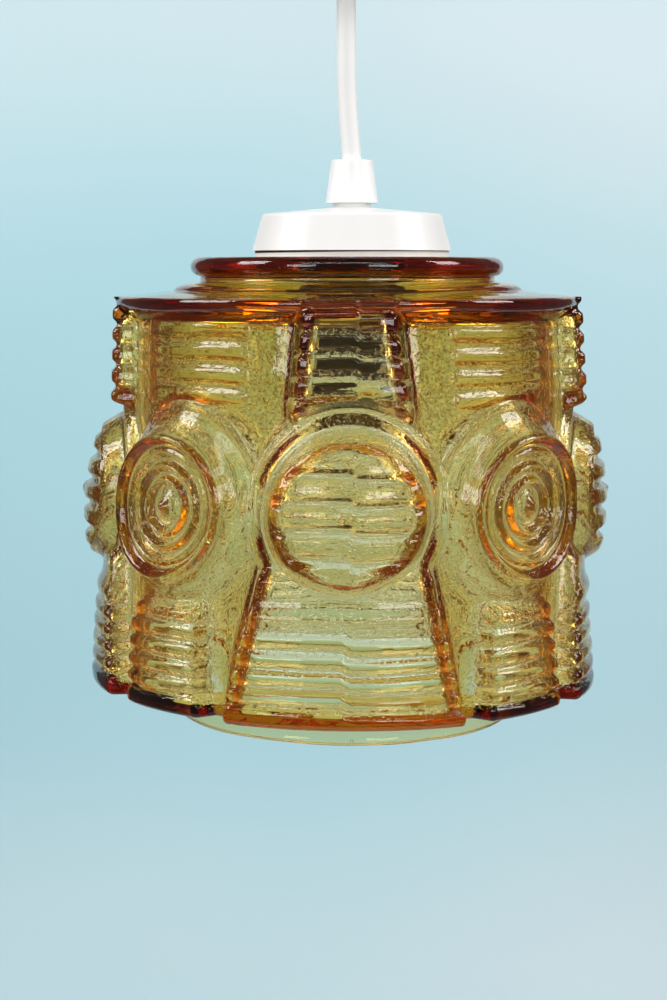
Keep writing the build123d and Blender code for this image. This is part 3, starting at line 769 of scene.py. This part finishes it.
class PENDANT_OT_stage(bpy.types.Operator):
    """Camera, two softboxes, a long light above, two wall lights and a pale swept backdrop"""

    bl_idname = "pendant.stage"
    bl_label = "Stage"

    def execute(self, context):
        stage = context.scene.pendant_stage
        self.add_camera(context, stage)
        self.add_backdrop(stage)
        middle = Vector((0, 0, (LID_Z + RIM_Z) / 2))
        reach = 1.25
        raised = 0.33
        for name, side in (("softbox_left", -28), ("softbox_right", 25)):
            place = (reach * sin(radians(side)), -reach * cos(radians(side)), raised)
            self.add_light(name, middle + Vector(place), middle, stage.softbox, stage.softbox_power)
        for name, side in (("wall_wash_left", -1), ("wall_wash_right", 1)):
            place = Vector((side * 1.1, -0.1, 0.6))
            aim = Vector((side * 0.15, stage.wall_distance, -0.25))
            self.add_light(name, place, aim, 0.7, stage.wash_power)
        place = middle + Vector((0, -0.8, 0.8))
        strip = self.add_light("top_strip", place, middle, 1.0, stage.strip_power)
        strip.shape = "RECTANGLE"
        strip.size_y = 0.2
        self.set_world(context, stage)
        return {"FINISHED"}

    def add_camera(self, context, stage):
        data = bpy.data.cameras.new("camera")
        data.lens = stage.lens
        data.sensor_fit = "AUTO"
        data.sensor_width = 36
        data.clip_start = 0.01
        camera = link("camera", data)
        camera.location = stage.camera_place
        camera.rotation_euler = (pi / 2 - stage.camera_pitch, 0, 0)
        context.scene.camera = camera

    def add_backdrop(self, stage):
        """One sheet: floor, a quarter-round cove and the wall, with an even grid of faces."""
        cove = 0.45
        wall = stage.wall_distance
        floor = stage.floor_height
        section = [(-0.9 + i * 0.2, floor) for i in range(8)]
        for i in range(17):
            angle = radians(90 * i / 16)
            section.append((wall - cove + cove * sin(angle), floor + cove * (1 - cos(angle))))
        section += [(wall, floor + cove + 0.2 * i) for i in range(1, 6)]
        wide = [-0.8 + 0.2 * i for i in range(9)]
        points = [(x, y, z) for y, z in section for x in wide]
        count = len(wide)
        faces = []
        for row in range(len(section) - 1):
            for column in range(count - 1):
                corner = row * count + column
                faces.append((corner, corner + 1, corner + count + 1, corner + count))
        mesh = bpy.data.meshes.new("backdrop")
        mesh.from_pydata(points, [], faces)
        mesh.shade_smooth()
        mesh.materials.append(backdrop_paint(stage))
        link("backdrop", mesh)

    def add_light(self, name, place, aim, size, power):
        data = bpy.data.lights.new(name, "AREA")
        data.shape = "SQUARE"
        data.size = size
        data.energy = power
        light = link(name, data)
        light.location = place
        light.rotation_euler = (aim - place).to_track_quat("-Z", "Y").to_euler()
        return data

    def set_world(self, context, stage):
        world = bpy.data.worlds.new("surround")
        world.use_nodes = True
        background = world.node_tree.nodes["Background"]
        background.inputs["Color"].default_value = opaque(stage.surround)
        context.scene.world = world
        context.scene.view_settings.view_transform = "Standard"
        context.scene.cycles.use_denoising = True
        context.scene.cycles.max_bounces = 32
        context.scene.cycles.transmission_bounces = 32
        context.scene.cycles.glossy_bounces = 8


class PENDANT_OT_flex(bpy.types.Operator):
    """The short white flex, hanging slightly bowed between its two mouths"""

    bl_idname = "pendant.flex"
    bl_label = "Flex"

    def execute(self, context):
        flex = context.scene.pendant_flex
        route = [
            (0.0, 0.0, ROSE_MOUTH),
            (0.05 * MM, 0.0, -64 * MM),
            (0.45 * MM, 0.0, -80.5 * MM),
            (STACK_X, 0.0, GRIP_MOUTH),
        ]
        curve = bpy.data.curves.new("flex_cord", "CURVE")
        curve.dimensions = "3D"
        curve.resolution_u = 24
        curve.bevel_depth = flex.diameter / 2
        curve.bevel_resolution = 8
        curve.use_fill_caps = True
        line = curve.splines.new("NURBS")
        line.points.add(len(route) - 1)
        for point, place in zip(line.points, route):
            point.co = (*place, 1.0)
        line.order_u = 3
        line.use_endpoint_u = True
        curve.materials.append(flex_sheath(context.scene.pendant_finish))
        cord = link("flex_cord", curve)
        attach(cord, "flex")
        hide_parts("cord")
        return {"FINISHED"}


class PENDANT_OT_glass(bpy.types.Operator):
    """The amber glass shade with all its relief"""

    bl_idname = "pendant.glass"
    bl_label = "Glass shade"

    def execute(self, context):
        glass = context.scene.pendant_glass
        turn, rows = shade_rows(glass)
        mesh = skin_from_rows("shade_glass", turn, rows)
        mesh.materials.append(amber_glass(glass))
        shade = link("shade_glass", mesh)
        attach(shade, "shade")
        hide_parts("glass_shade")
        return {"FINISHED"}


class PENDANT_OT_mouldings(bpy.types.Operator):
    """White plastic for the rose, the cap and the cord grip, with softened edges"""

    bl_idname = "pendant.mouldings"
    bl_label = "White mouldings"

    def execute(self, context):
        paint(WHITE_MOULDINGS, white_plastic(context.scene.pendant_finish))
        for name in ("cap", "cord_grip", "rose_cover"):
            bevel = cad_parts[name].modifiers.new("soft_edges", "BEVEL")
            bevel.width = 0.8 * MM
            bevel.segments = 3
            bevel.limit_method = "ANGLE"
            bevel.angle_limit = radians(40)
            bevel.harden_normals = True
        return {"FINISHED"}


class PENDANT_OT_lampholder(bpy.types.Operator):
    """Black bakelite, ceramic and the washer on the glass"""

    bl_idname = "pendant.lampholder"
    bl_label = "Lampholder"

    def execute(self, context):
        finish = context.scene.pendant_finish
        paint(BLACK_MOULDINGS, bakelite(finish))
        paint(["holder_insert"], ceramic(finish))
        paint(["seat_washer"], rubber_and_gap_shade(finish))
        return {"FINISHED"}


class PENDANT_OT_metal(bpy.types.Operator):
    """Brass contacts and zinc-plated steel fixings"""

    bl_idname = "pendant.metal"
    bl_label = "Metal parts"

    def execute(self, context):
        finish = context.scene.pendant_finish
        dull_brass = (0.50, 0.33, 0.13)
        dull_steel = (0.42, 0.43, 0.45)
        paint(BRASS_PARTS, pressed_metal("brass", finish.brass, dull_brass, roughness=0.22))
        paint(STEEL_PARTS, pressed_metal("steel", finish.steel, dull_steel, roughness=0.28))
        return {"FINISHED"}


class PENDANT_OT_wiring(bpy.types.Operator):
    """Single wires and the stubs of flex inside the rose and the grip"""

    bl_idname = "pendant.wiring"
    bl_label = "Wiring"

    def execute(self, context):
        paint(WIRES, wire_insulation(context.scene.pendant_finish))
        paint(FLEX_STUBS, bpy.data.materials["white_flex"])
        return {"FINISHED"}


class PENDANT_PT_panel(bpy.types.Panel):
    """Buttons for each group of pieces"""

    bl_label = "Pendant light"
    bl_idname = "PENDANT_PT_panel"
    bl_space_type = "VIEW_3D"
    bl_region_type = "UI"
    bl_category = "Pendant"

    def draw(self, context):
        for operator in OPERATORS:
            self.layout.operator(operator.bl_idname)
        for settings in ("pendant_stage", "pendant_glass", "pendant_flex", "pendant_finish"):
            box = self.layout.box()
            group = getattr(context.scene, settings)
            for name in group.__annotations__:
                box.prop(group, name)


SETTINGS = {
    "pendant_stage": StageSettings,
    "pendant_glass": GlassSettings,
    "pendant_flex": FlexSettings,
    "pendant_finish": FinishSettings,
}
OPERATORS = (
    PENDANT_OT_stage,
    PENDANT_OT_flex,
    PENDANT_OT_glass,
    PENDANT_OT_mouldings,
    PENDANT_OT_lampholder,
    PENDANT_OT_metal,
    PENDANT_OT_wiring,
)


def register():
    for name, group in SETTINGS.items():
        bpy.utils.register_class(group)
        setattr(bpy.types.Scene, name, PointerProperty(type=group))
    for operator in OPERATORS:
        bpy.utils.register_class(operator)
    bpy.utils.register_class(PENDANT_PT_panel)


def unregister():
    bpy.utils.unregister_class(PENDANT_PT_panel)
    for operator in reversed(OPERATORS):
        bpy.utils.unregister_class(operator)
    for name, group in SETTINGS.items():
        delattr(bpy.types.Scene, name)
        bpy.utils.unregister_class(group)


def main():
    register()
    bpy.ops.pendant.stage()
    bpy.ops.pendant.flex()
    bpy.ops.pendant.glass()
    bpy.ops.pendant.mouldings()
    bpy.ops.pendant.lampholder()
    bpy.ops.pendant.metal()
    bpy.ops.pendant.wiring()


if __name__ == "__main__":
    main()
